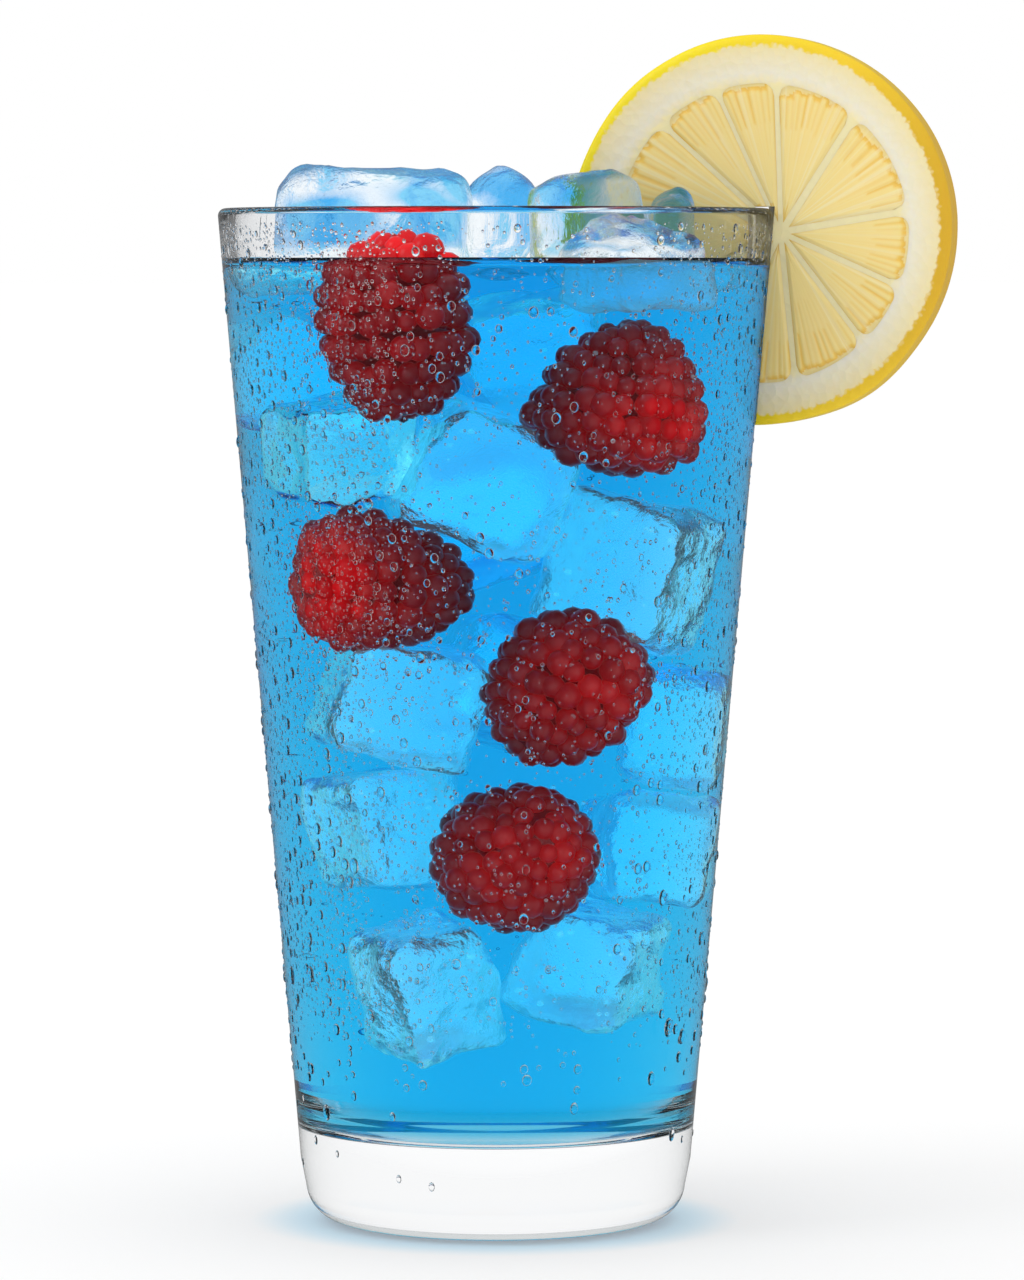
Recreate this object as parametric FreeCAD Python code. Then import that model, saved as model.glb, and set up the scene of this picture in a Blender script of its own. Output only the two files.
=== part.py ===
"""A tall glass of lemonade over ice, with a raspberry afloat and a wheel of lemon on the rim.

Millimetres, +Z up, +X to the drinker's right and -Y towards the drinker. The origin is the middle of the glass's foot.
"""
import FreeCAD, Part

import math
import os

from FreeCAD import Vector

# Tumbler
glass_height = 160.0
rim_radius = 43.7
foot_radius = 30.1
wall = 2.4
base_thickness = 14.5
heel_radius = 6.0
inner_corner_radius = 5.0
rim_round = 1.1
punt_radius = 22.0
punt_depth = 1.6

# Lemonade
drink_depth = 136.5
drink_clearance = 0.15

# Floating raspberry
berry_width = 22.6
berry_height = 28.0
berry_dip = 9.5
berry_side = -14.0
berry_wall_clearance = 0.5
berry_drink_clearance = 0.1
drupelet_radius = 2.0
drupelet_rows = 9
drupelet_pitch = 3.4

# Ice that stands out of the drink
ice_round = 3.0
slab_size = (31.0, 16.0, 19.0)
slab_rise = 16.0
peak_side = 15.0
peak_depth = 14.0
peak_rise = 16.0
arch_size = (17.6, 9.5, 16.0)
arch_rise = 15.2
knob_size = (7.4, 12.0, 15.0)
knob_rise = 12.4
front_size = (18.0, 18.0, 11.0)
front_rise = 6.5
front_azimuth_deg = -44.0
front_wall_clearance = 2.0

# Lemon wheel
wheel_radius = 30.8
wheel_thickness = 6.5
pulp_radius = 23.6
pulp_offset = (0.6, -0.5)
membrane = 0.8
core_radius = 1.6
core_offset = (3.6, -0.4)
segment_round = 1.3
segment_edges_deg = (9.0, 57.0, 92.0, 115.0, 138.0, 172.0, 210.0, 244.0, 276.0, 308.0, 336.0)
smallest_segment = 10.0
wheel_turn_deg = 15.0
wheel_azimuth_deg = 6.0
wheel_sink = 3.4
slot_clearance = 0.3
notch_above_drink = 1.0

drink_level = base_thickness + drink_depth


def outer_radius(z):
    """Outer radius of the straight tapered wall at height z."""
    return foot_radius + (rim_radius - foot_radius) * z / glass_height


def inner_radius(z):
    """Inner radius of the wall at height z."""
    return outer_radius(z) - wall


def lathe(points):
    """Solid of revolution about Z from a closed outline of (radius, height) points."""
    outline = Part.makePolygon([Vector(r, 0, z) for r, z in points + points[:1]])
    return Part.Face(outline).revolve(Vector(0, 0, 0), Vector(0, 0, 1), 360)


def rings(solid, radius, z):
    """Circular edges of the given radius that lie at height z."""
    found = []
    for edge in solid.Edges:
        if not isinstance(edge.Curve, Part.Circle):
            continue
        if abs(edge.Curve.Radius - radius) < 1e-3 and abs(edge.Curve.Center.z - z) < 1e-3:
            found.append(edge)
    return found


def rounded_box(size, turn_deg, centre):
    """Box with all edges rounded, turned about X, Y and Z in that order, then set at its centre."""
    box = Part.makeBox(*size, Vector(*(-s / 2 for s in size)))
    box = box.makeFillet(min(ice_round, 0.4 * min(size)), box.Edges)
    for axis, angle in zip((Vector(1, 0, 0), Vector(0, 1, 0), Vector(0, 0, 1)), turn_deg):
        box.rotate(Vector(0, 0, 0), axis, angle)
    box.translate(Vector(*centre))
    return box


def hung_below(box, top):
    """The same piece, moved along Z until its highest point is at the given height."""
    box.translate(Vector(0, 0, top - box.BoundBox.ZMax))
    return box


def glass():
    """Tapered tumbler with a thick clear base, a rounded heel and lip, and a shallow punt under the foot."""
    body = lathe([
        (0, 0),
        (foot_radius, 0),
        (rim_radius, glass_height),
        (rim_radius - wall, glass_height),
        (inner_radius(base_thickness), base_thickness),
        (0, base_thickness),
    ])
    body = body.makeFillet(heel_radius, rings(body, foot_radius, 0))
    body = body.makeFillet(inner_corner_radius, rings(body, inner_radius(base_thickness), base_thickness))
    lip = rings(body, rim_radius, glass_height) + rings(body, rim_radius - wall, glass_height)
    body = body.makeFillet(rim_round, lip)
    dome_radius = (punt_radius ** 2 + punt_depth ** 2) / (2 * punt_depth)
    return body.cut(Part.makeSphere(dome_radius, Vector(0, 0, punt_depth - dome_radius)))


def drink(sunk):
    """Lemonade up to its level, with the pieces that float in it cut out."""
    bottom = base_thickness + drink_clearance
    body = lathe([
        (0, bottom),
        (inner_radius(bottom) - drink_clearance, bottom),
        (inner_radius(drink_level) - drink_clearance, drink_level),
        (0, drink_level),
    ])
    corner = inner_corner_radius - drink_clearance
    body = body.makeFillet(corner, rings(body, inner_radius(bottom) - drink_clearance, bottom))
    for piece in sunk:
        body = body.cut(piece)
    return body


def berry_place():
    """Centre of the floating raspberry, which lies against the front wall."""
    z = drink_level - berry_dip
    reach = inner_radius(z - berry_height / 2) - berry_width / 2 - berry_wall_clearance
    return Vector(berry_side, -math.sqrt(reach ** 2 - berry_side ** 2), z)


def ellipsoid(width, height, centre):
    """Ellipsoid of revolution with an upright axis."""
    body = Part.makeSphere(width / 2)
    stretch = FreeCAD.Matrix()
    stretch.scale(Vector(1, 1, height / width))
    body = body.transformGeometry(stretch)
    body.translate(centre)
    return body


def raspberry():
    """Raspberry: staggered rows of round drupelets fused on a core."""
    centre = berry_place()
    ring_width = berry_width / 2 - drupelet_radius
    half_height = berry_height / 2 - drupelet_radius
    body = ellipsoid(2 * ring_width + drupelet_radius, 2 * half_height + drupelet_radius, centre)
    drupelets = []
    for row in range(drupelet_rows):
        tilt = math.pi * row / (drupelet_rows - 1) - math.pi / 2
        radius = ring_width * math.cos(tilt)
        count = max(1, round(2 * math.pi * radius / drupelet_pitch))
        for i in range(count):
            turn = 2 * math.pi * (i + 0.5 * (row % 2)) / count
            place = Vector(radius * math.cos(turn), radius * math.sin(turn), half_height * math.sin(tilt))
            drupelets.append(Part.makeSphere(drupelet_radius, centre + place))
    return body.multiFuse(drupelets)


def berry_hollow():
    """Room that the raspberry takes up in the drink."""
    grow = 2 * berry_drink_clearance
    return ellipsoid(berry_width + grow, berry_height + grow, berry_place())


def ice():
    """Ice pieces that stand out of the drink, by node name."""
    front_reach = inner_radius(drink_level - front_size[2]) - front_size[0] / 2 - front_wall_clearance
    front_turn = math.radians(front_azimuth_deg)
    front_centre = (front_reach * math.cos(front_turn), front_reach * math.sin(front_turn), 0)
    return {
        "ice_slab": hung_below(rounded_box(slab_size, (3, 2, 0), (-19.3, 0, 0)), drink_level + slab_rise),
        "ice_peak": hung_below(
            rounded_box((peak_side, peak_depth, peak_side), (0, 45, 0), (0.5, 17.0, 0)), drink_level + peak_rise
        ),
        "ice_arch": hung_below(rounded_box(arch_size, (0, -9, 0), (14.2, 0.2, 0)), drink_level + arch_rise),
        "ice_knob": hung_below(rounded_box(knob_size, (6, 0, 0), (27.6, -3.4, 0)), drink_level + knob_rise),
        "ice_front": hung_below(
            rounded_box(front_size, (8, 6, front_azimuth_deg), front_centre),
            drink_level + front_rise,
        ),
    }


def wheel_centre():
    """Centre of the lemon wheel: astride the wall, sunk a little below the lip."""
    azimuth = math.radians(wheel_azimuth_deg)
    astride = rim_radius - wall / 2
    return Vector(astride * math.cos(azimuth), astride * math.sin(azimuth), glass_height - wheel_sink)


def on_rim(piece):
    """Turns a piece of the upright wheel, modelled about the origin in the XZ plane, onto the rim."""
    piece.rotate(Vector(0, 0, 0), Vector(0, 0, 1), -wheel_turn_deg)
    piece.translate(wheel_centre())
    return piece


def disc(radius, offset=(0, 0)):
    """Upright disc of the wheel's thickness, in the XZ plane, with its middle at the offset."""
    front = Vector(offset[0], -wheel_thickness / 2, offset[1])
    return Part.makeCylinder(radius, wheel_thickness, front, Vector(0, 1, 0))


def segment(start_deg, end_deg):
    """One wedge of pulp between two membranes, through the whole thickness of the wheel."""
    start = math.radians(start_deg)
    end = math.radians(end_deg)
    middle = (start + end) / 2
    inset = membrane / 2 / math.sin((end - start) / 2)
    setback = max(inset, core_radius)
    reach = 2 * wheel_radius
    front = -wheel_thickness / 2

    def at(distance, angle):
        x = core_offset[0] + setback * math.cos(middle) + distance * math.cos(angle)
        z = core_offset[1] + setback * math.sin(middle) + distance * math.sin(angle)
        return Vector(x, front, z)

    outline = Part.makePolygon([at(0, middle), at(reach, start), at(reach, end), at(0, middle)])
    wedge = Part.Face(outline).extrude(Vector(0, wheel_thickness, 0)).common(disc(pulp_radius, pulp_offset))
    corners = [e for e in wedge.Edges if len(e.Vertexes) == 2 and is_through(e)]
    return wedge.makeFillet(segment_round, corners)


def is_through(edge):
    """True for a straight edge that runs through the wheel's thickness."""
    run = edge.Vertexes[1].Point - edge.Vertexes[0].Point
    return abs(abs(run.y) - wheel_thickness) < 1e-6 and math.hypot(run.x, run.z) < 1e-6


def slot():
    """Room for the glass wall, with clearance on both faces and over the lip, and the notch above the drink."""
    top = glass_height + slot_clearance
    notch = drink_level + notch_above_drink
    low = drink_level - 2 * wheel_radius
    return lathe([
        (0, low),
        (outer_radius(low) + slot_clearance, low),
        (outer_radius(top) + slot_clearance, top),
        (inner_radius(top) - slot_clearance, top),
        (inner_radius(notch) - slot_clearance, notch),
        (0, notch),
    ])


def lemon():
    """Lemon wheel by node name: the peel with its membranes, and the segments of pulp."""
    gap = slot()
    edges = segment_edges_deg + (segment_edges_deg[0] + 360,)
    wedges = [segment(a, b) for a, b in zip(edges, edges[1:])]
    peel = disc(wheel_radius)
    for wedge in wedges:
        peel = peel.cut(wedge)
    pulp = [solid for wedge in wedges for solid in on_rim(wedge).cut(gap).Solids]
    pulp = [solid for solid in pulp if solid.Volume > smallest_segment]
    nodes = {"lemon_peel": max(on_rim(peel).cut(gap).Solids, key=lambda solid: solid.Volume)}
    nodes.update({f"lemon_segment_{number:02d}": solid for number, solid in enumerate(pulp, 1)})
    return nodes


def main():
    floating = ice()
    nodes = {
        "glass": glass(),
        "drink": drink(list(floating.values()) + [berry_hollow()]),
        "raspberry_afloat": raspberry(),
        **floating,
        **lemon(),
    }
    os.makedirs("parts", exist_ok=True)
    for name, shape in nodes.items():
        shape.exportStep(f"parts/{name}.step")
        print(f"{name}: {len(shape.Solids)} solid, {shape.Volume / 1000:.2f} cm3, valid {shape.isValid()}")


main()
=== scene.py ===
import math
import random

import bmesh
import bpy
import numpy as np
from mathutils import Matrix, Vector, noise


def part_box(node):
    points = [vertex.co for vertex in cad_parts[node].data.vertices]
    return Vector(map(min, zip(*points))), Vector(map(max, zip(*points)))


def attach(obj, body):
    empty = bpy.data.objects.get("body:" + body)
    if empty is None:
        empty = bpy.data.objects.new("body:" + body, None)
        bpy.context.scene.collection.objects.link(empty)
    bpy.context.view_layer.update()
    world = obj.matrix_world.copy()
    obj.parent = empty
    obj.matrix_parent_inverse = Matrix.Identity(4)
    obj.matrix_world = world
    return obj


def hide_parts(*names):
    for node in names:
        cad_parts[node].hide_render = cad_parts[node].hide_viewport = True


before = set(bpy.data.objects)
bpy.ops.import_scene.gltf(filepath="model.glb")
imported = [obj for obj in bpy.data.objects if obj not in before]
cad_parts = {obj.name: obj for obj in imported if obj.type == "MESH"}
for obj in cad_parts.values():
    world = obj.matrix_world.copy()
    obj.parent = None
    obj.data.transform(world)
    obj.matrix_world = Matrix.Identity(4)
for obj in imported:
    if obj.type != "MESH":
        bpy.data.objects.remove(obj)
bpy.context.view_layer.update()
scene = bpy.context.scene


# The tumbler: one piece of clear pressed glass on a thick base, with a rounded heel and lip and a
# shallow punt under the foot. Its wall leans out evenly from the foot to the rim.
glass_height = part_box("glass")[1][2]
rim_radius = 0.0437
foot_radius = 0.0301
wall = 0.0024
base_thickness = 0.0145
heel_radius = 0.006
inner_corner = 0.0046
punt_radius = 0.022
punt_depth = 0.0016
lathe_sides = 192


def outer_radius(z):
    return foot_radius + (rim_radius - foot_radius) * z / glass_height


def inner_radius(z):
    return outer_radius(z) - wall


def arc(centre, radius, start_deg, end_deg, steps):
    """Points of an arc in the (radius, height) plane."""
    turns = [math.radians(start_deg + (end_deg - start_deg) * i / steps) for i in range(steps + 1)]
    return [(centre[0] + radius * math.cos(a), centre[1] + radius * math.sin(a)) for a in turns]


def run(start, end, steps):
    """Points along a straight run, without its first one."""
    return [tuple(a + (b - a) * i / steps for a, b in zip(start, end)) for i in range(1, steps + 1)]


def mesh_piece(name, points, faces, material, smooth_deg=40):
    """A closed mesh object, welded, with its faces turned outwards and smooth up to an angle."""
    mesh = bpy.data.meshes.new(name)
    mesh.from_pydata(points, [], faces)
    shape = bmesh.new()
    shape.from_mesh(mesh)
    bmesh.ops.remove_doubles(shape, verts=shape.verts, dist=1e-7)
    bmesh.ops.recalc_face_normals(shape, faces=shape.faces)
    shape.to_mesh(mesh)
    shape.free()
    mesh.shade_smooth()
    mesh.set_sharp_from_angle(angle=math.radians(smooth_deg))
    if material:
        mesh.materials.append(material)
    piece = bpy.data.objects.new(name, mesh)
    scene.collection.objects.link(piece)
    return piece


def lathe(name, outline, material, smooth_deg=40):
    """Solid of revolution about Z from (radius, height) points, both ends on the axis."""
    points = []
    rings = []
    for radius, z in outline:
        count = 1 if radius < 1e-7 else lathe_sides
        rings.append([len(points) + i for i in range(count)])
        for i in range(count):
            turn = 2 * math.pi * i / lathe_sides
            points.append((radius * math.cos(turn), radius * math.sin(turn), z))
    faces = []
    for low, high in zip(rings, rings[1:]):
        for i in range(lathe_sides):
            j = (i + 1) % lathe_sides
            corners = [low[i % len(low)], low[j % len(low)], high[j % len(high)], high[i % len(high)]]
            faces.append(tuple(dict.fromkeys(corners)))
    return mesh_piece(name, points, faces, material, smooth_deg)


def new_material(name, **values):
    """A Principled material with plain values on the shader's own sockets."""
    material = bpy.data.materials.new(name)
    material.use_nodes = True
    shader = material.node_tree.nodes["Principled BSDF"]
    for key, value in values.items():
        shader.inputs[key.replace("_", " ")].default_value = value
    return material


def tree_node(tree, kind, **inputs):
    """A new node with values or links on its inputs, by name or, as i0, i1 and so on, by number."""
    node = tree.nodes.new(kind)
    for key, value in inputs.items():
        by_number = key[0] == "i" and key[1:].isdigit()
        socket = node.inputs[int(key[1:]) if by_number else key.replace("_", " ")]
        if isinstance(value, bpy.types.NodeSocket):
            tree.links.new(value, socket)
        else:
            socket.default_value = value
    return node


def add_node(material, kind, **inputs):
    """A new shader node, wired as tree_node does it."""
    return tree_node(material.node_tree, kind, **inputs)


def on_shader(material, **links):
    """Links node outputs to the Principled shader's sockets."""
    shader = material.node_tree.nodes["Principled BSDF"]
    for key, output in links.items():
        material.node_tree.links.new(output, shader.inputs[key.replace("_", " ")])


clear_glass = new_material(
    "clear_glass",
    Base_Color=(0.945, 0.952, 0.958, 1),
    Roughness=0.0,
    IOR=1.5,
    Transmission_Weight=1.0,
    Specular_Tint=(0.2, 0.2, 0.2, 1),
)

heel_centre = (foot_radius - heel_radius, heel_radius)
lean_deg = math.degrees(math.atan2(rim_radius - foot_radius, glass_height))
dome_radius = (punt_radius ** 2 + punt_depth ** 2) / (2 * punt_depth)
lip_radius = wall / 2
lip_centre = (rim_radius - lip_radius, glass_height - lip_radius)
corner_rise = 0.005
floor_corner = (inner_radius(base_thickness) - inner_corner, base_thickness + corner_rise)
half_punt_deg = math.degrees(math.asin(punt_radius / dome_radius))
glass_outline = (
    [(0, punt_depth)]
    + arc((0, punt_depth - dome_radius), dome_radius, 90, 90 - half_punt_deg, 16)[1:]
    + arc(heel_centre, heel_radius, -90, -lean_deg, 14)
    + run((outer_radius(heel_radius), heel_radius), (rim_radius, lip_centre[1]), 40)
    + arc(lip_centre, lip_radius, 0, 180, 12)[1:]
    + run((rim_radius - wall, lip_centre[1]), (inner_radius(floor_corner[1]), floor_corner[1]), 40)
    + arc(floor_corner, inner_corner, -lean_deg, -90, 10)[1:]
    + [(floor_corner[0] * (1 - i / 6), floor_corner[1] - inner_corner) for i in range(1, 7)]
)
glass = lathe("glass_tumbler", glass_outline, clear_glass)
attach(glass, "root")
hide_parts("glass")


# Ice: clear cubes and broken pieces with melted, rounded edges and slightly hollow, wavy faces. Some
# stand out of the drink; the rest hang in it at all heights. Each piece displaces the drink.
drink_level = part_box("drink")[1][2]
ice_gap = 0.00003
ice_reach = 0.00004
ice_round = 0.0030
thaw_round = 0.0055
ice_steps = 26
wave_seed = 5
noise.seed_set(wave_seed)

ice_clear = new_material(
    "ice_clear",
    Base_Color=(0.97, 0.99, 1.0, 1),
    Roughness=0.02,
    IOR=1.31,
    Transmission_Weight=1.0,
    # Emission_Color and Emission_Strength paint a faint pale-blue glow into the ice and the bubbles:
    # painted light that no lamp gives.
    Emission_Color=(0.70, 0.92, 1.0, 1),
    Emission_Strength=0.075,
    Specular_Tint=(0.25, 0.25, 0.25, 1),
)
spot = add_node(ice_clear, "ShaderNodeTexCoord")
ripple = add_node(
    ice_clear, "ShaderNodeTexNoise", Vector=spot.outputs["Object"], Scale=420.0, Detail=5.0
)
dimple = add_node(
    ice_clear, "ShaderNodeBump", Strength=1.0, Distance=0.0009, Height=ripple.outputs["Fac"]
)
on_shader(ice_clear, Normal=dimple.outputs["Normal"])


def rounded_block(size, corner, steps):
    """Points and faces of a box about the origin with all edges rounded, as six welded grids."""
    points = []
    faces = []
    ticks = [math.copysign(abs(t) ** 0.75, t) for t in np.linspace(-1, 1, steps + 1)]
    for axis in range(3):
        for side in (-1, 1):
            start = len(points)
            for a in ticks:
                for b in ticks:
                    unit = [a, b]
                    unit.insert(axis, side)
                    outer = [u * s / 2 for u, s in zip(unit, size)]
                    core = [max(-s / 2 + corner, min(s / 2 - corner, p)) for p, s in zip(outer, size)]
                    away = Vector(p - c for p, c in zip(outer, core))
                    points.append(Vector(core) + away.normalized() * corner)
            for i in range(steps):
                for j in range(steps):
                    at = start + i * (steps + 1) + j
                    faces.append((at, at + 1, at + steps + 2, at + steps + 1))
    return points, faces


def ice_piece(name, size, turn_deg, centre, seed, wave=0.0016, top=None, corner=ice_round):
    """One melted block of ice, set by its centre or hung below a given top."""
    points, faces = rounded_block(size, min(corner, 0.45 * min(size)), ice_steps)
    shift = Vector((seed * 3.7, seed * 1.3, seed * 7.1))
    turn_x, turn_y, turn_z = (math.radians(t) for t in turn_deg)
    turned = Matrix.Rotation(turn_z, 3, "Z") @ Matrix.Rotation(turn_y, 3, "Y")
    turned = turned @ Matrix.Rotation(turn_x, 3, "X")
    placed = []
    slow_scale, quick_scale, quick_share, dishing = 100, 300, 0.4, 0.05
    for point in points:
        slow = noise.noise_vector(point * slow_scale + shift) * wave
        quick = noise.noise_vector(point * quick_scale + shift) * wave * quick_share
        hollow = 1 - dishing * (1 - min(1, (point.length / (0.5 * max(size))) ** 2))
        placed.append(turned @ (point * hollow + slow + quick))
    lift = (top - max(p.z for p in placed)) if top else 0
    placed = [p + Vector(centre) + Vector((0, 0, lift)) for p in placed]
    return mesh_piece(name, placed, faces, ice_clear, 60)


# Ice that stands in the air is painted blue in patches, down to just over the surface: painted
# refraction of the blue drink below, with a faint painted glow.
painted_blue_fade = 0.003
ice_painted_blue = ice_clear.copy()
ice_painted_blue.name = "ice_painted_blue"
place = add_node(ice_painted_blue, "ShaderNodeTexCoord")
painted_blue_patches = add_node(ice_painted_blue, "ShaderNodeTexNoise", Vector=place.outputs["Object"], Scale=95.0, Detail=1.0)
height = add_node(ice_painted_blue, "ShaderNodeSeparateXYZ", Vector=place.outputs["Object"])
out_of_drink = add_node(
    ice_painted_blue,
    "ShaderNodeMapRange",
    Value=height.outputs["Z"],
    From_Min=drink_level,
    From_Max=drink_level + painted_blue_fade,
)
painted_blue_share = add_node(ice_painted_blue, "ShaderNodeMath", i0=painted_blue_patches.outputs["Fac"], i1=out_of_drink.outputs["Result"])
painted_blue_share.operation = "MULTIPLY"
# The ramp paints the blue of the drink, as seen through the ice, into the standing ice's colour: painted
# refraction.
painted_blue_ramp = add_node(ice_painted_blue, "ShaderNodeValToRGB", Fac=painted_blue_share.outputs["Value"])
painted_blue_ramp.color_ramp.elements[0].position = 0.47
painted_blue_ramp.color_ramp.elements[0].color = (0.95, 0.98, 1.0, 1)
painted_blue_ramp.color_ramp.elements[1].position = 0.62
painted_blue_ramp.color_ramp.elements[1].color = (0.05, 0.42, 0.86, 1)
on_shader(ice_painted_blue, Base_Color=painted_blue_ramp.outputs["Color"])
# A weaker painted glow on the standing ice.
ice_painted_blue.node_tree.nodes["Principled BSDF"].inputs["Emission Strength"].default_value = 0.03

front_size = (0.018, 0.018, 0.011)
front_clearance = 0.002
front_reach = inner_radius(drink_level - front_size[2]) - front_size[0] / 2 - front_clearance
front_turn = math.radians(-44)
front_middle = (front_reach * math.cos(front_turn), front_reach * math.sin(front_turn), 0)
standing_ice_places = [
    ("ice_slab", "ice_slab_left", (0.031, 0.016, 0.019), (3, 2, 0), (-0.0193, 0, 0), thaw_round),
    ("ice_peak", "ice_peak_back", (0.015, 0.014, 0.015), (0, 45, 0), (0.0005, 0.017, 0), thaw_round),
    ("ice_arch", "ice_arch_right", (0.0176, 0.0095, 0.016), (0, -9, 0), (0.0142, 0.0002, 0), thaw_round),
    ("ice_knob", "ice_knob_right", (0.0074, 0.012, 0.015), (6, 0, 0), (0.0276, -0.0034, 0), thaw_round),
    ("ice_front", "ice_at_front", front_size, (8, 6, -44), front_middle, ice_round),
]
standing_ice = []
for seed, (node, name, size, turn, middle, corner) in enumerate(standing_ice_places, 1):
    piece = ice_piece(name, size, turn, middle, seed, top=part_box(node)[1][2], corner=corner)
    piece.data.materials[0] = ice_painted_blue
    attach(piece, "root")
    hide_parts(node)
    standing_ice.append(piece)

sunk_ice_places = [
    ("ice_sunk_01", (0.018, 0.017, 0.015), (10, -8, 14), (-0.0195, -0.0060, 0.1230)),
    ("ice_sunk_02", (0.020, 0.018, 0.020), (12, 22, 8), (-0.0011, -0.0120, 0.1185)),
    ("ice_sunk_03", (0.019, 0.018, 0.022), (-8, 14, -20), (0.0176, -0.0100, 0.1040)),
    ("ice_sunk_04", (0.021, 0.017, 0.018), (6, 12, 10), (-0.0124, -0.0110, 0.0841)),
    ("ice_sunk_05", (0.017, 0.017, 0.018), (-4, -6, 24), (-0.0141, -0.0080, 0.0642)),
    ("ice_sunk_06", (0.016, 0.015, 0.020), (8, -16, 30), (-0.0093, -0.0130, 0.0390)),
    ("ice_sunk_07", (0.017, 0.016, 0.017), (14, 20, -16), (0.0125, -0.0070, 0.0421)),
    ("ice_sunk_08", (0.014, 0.016, 0.018), (5, 8, 12), (0.0215, 0.0030, 0.0790)),
    ("ice_sunk_09", (0.016, 0.016, 0.017), (-10, 12, 30), (0.0185, 0.0030, 0.0600)),
    ("ice_sunk_10", (0.017, 0.017, 0.017), (20, -14, 6), (0.0045, 0.0040, 0.1385)),
    ("ice_sunk_11", (0.019, 0.018, 0.018), (10, 24, -8), (-0.0180, 0.0180, 0.1345)),
    ("ice_sunk_12", (0.020, 0.019, 0.018), (6, -20, 12), (-0.0020, 0.0230, 0.1120)),
    ("ice_sunk_13", (0.018, 0.017, 0.018), (-8, 18, 14), (0.0030, 0.0130, 0.0860)),
]
sunk_ice = []
for seed, (name, size, turn, centre) in enumerate(sunk_ice_places, 11):
    piece = ice_piece(name, size, turn, centre, seed)
    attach(piece, "root")
    sunk_ice.append(piece)


# The lemonade: a clear, strongly dyed blue liquid up to its level, with a meniscus that climbs the
# glass. It reaches a hair into the wall, so that no air shows there, and is hollowed round the ice.
wall_reach = 0.00015
meniscus_height = 0.0013
meniscus_width = 0.0016
meniscus_run = 0.008

blue_lemonade = new_material(
    "blue_lemonade",
    Base_Color=(1, 1, 1, 1),
    Roughness=0.0,
    IOR=1.333,
    Transmission_Weight=1.0,
    Specular_Tint=(0.05, 0.05, 0.05, 1),
)
dye = add_node(
    blue_lemonade, "ShaderNodeVolumeAbsorption", Color=(0.02, 0.848, 0.980, 1), Density=90.0
)
blue_lemonade.node_tree.links.new(
    dye.outputs["Volume"], blue_lemonade.node_tree.nodes["Material Output"].inputs["Volume"]
)

corner_radius = inner_corner + wall_reach
top_radius = inner_radius(drink_level) + wall_reach
climb_lean = inner_radius(drink_level + meniscus_height) - inner_radius(drink_level)
climb = [
    (
        top_radius + climb_lean * (1 - t) - t * meniscus_run,
        drink_level + meniscus_height * math.exp(-t * meniscus_run / meniscus_width),
    )
    for t in (i / 16 for i in range(17))
]
drink_outline = (
    [(0, floor_corner[1] - corner_radius)]
    + [(floor_corner[0] * i / 6, floor_corner[1] - corner_radius) for i in range(1, 7)]
    + arc(floor_corner, corner_radius, -90, -lean_deg, 10)[1:]
    + run((inner_radius(floor_corner[1]) + wall_reach, floor_corner[1]), climb[0], 48)
    + climb[1:]
    + [(climb[-1][0] * (1 - i / 8), drink_level) for i in range(1, 9)]
)
drink = lathe("drink_blue", drink_outline, blue_lemonade, 30)


def settle(piece):
    """Turns a piece's modifiers into its plain mesh."""
    graph = bpy.context.evaluated_depsgraph_get()
    mesh = bpy.data.meshes.new_from_object(piece.evaluated_get(graph), depsgraph=graph)
    piece.modifiers.clear()
    piece.data = mesh


def cut_away(piece, tool):
    """Takes the tool's shape out of the piece."""
    step = piece.modifiers.new("cut", "BOOLEAN")
    step.operation = "DIFFERENCE"
    step.solver = "MANIFOLD"
    step.object = tool
    settle(piece)


def hollowed(piece, cutters, grow):
    """Takes the cutters' shapes, grown a little along their normals, out of the piece."""
    for cutter in cutters:
        mesh = cutter.data.copy()
        away = [v.normal.copy() for v in mesh.vertices]
        for vertex, normal in zip(mesh.vertices, away):
            vertex.co += normal * grow
        tool = bpy.data.objects.new("cutter", mesh)
        scene.collection.objects.link(tool)
        cut_away(piece, tool)
        bpy.data.objects.remove(tool)
        bpy.data.meshes.remove(mesh)


hollowed(drink, standing_ice, -ice_reach)
hollowed(drink, sunk_ice, ice_gap)
drink.data.shade_smooth()
drink.data.set_sharp_from_angle(angle=math.radians(35))
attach(drink, "root")
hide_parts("drink")


# Raspberries: each a thimble of small round drupelets in staggered rows about a core, wet and glossy.
# One floats at the surface and four lie against the front of the glass at different heights.
def add_socket(tree, name, kind, default=None, output=False):
    """A named input or output on a geometry tree."""
    way = "OUTPUT" if output else "INPUT"
    socket = tree.interface.new_socket(name=name, in_out=way, socket_type=kind)
    if default is not None:
        socket.default_value = default


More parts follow.
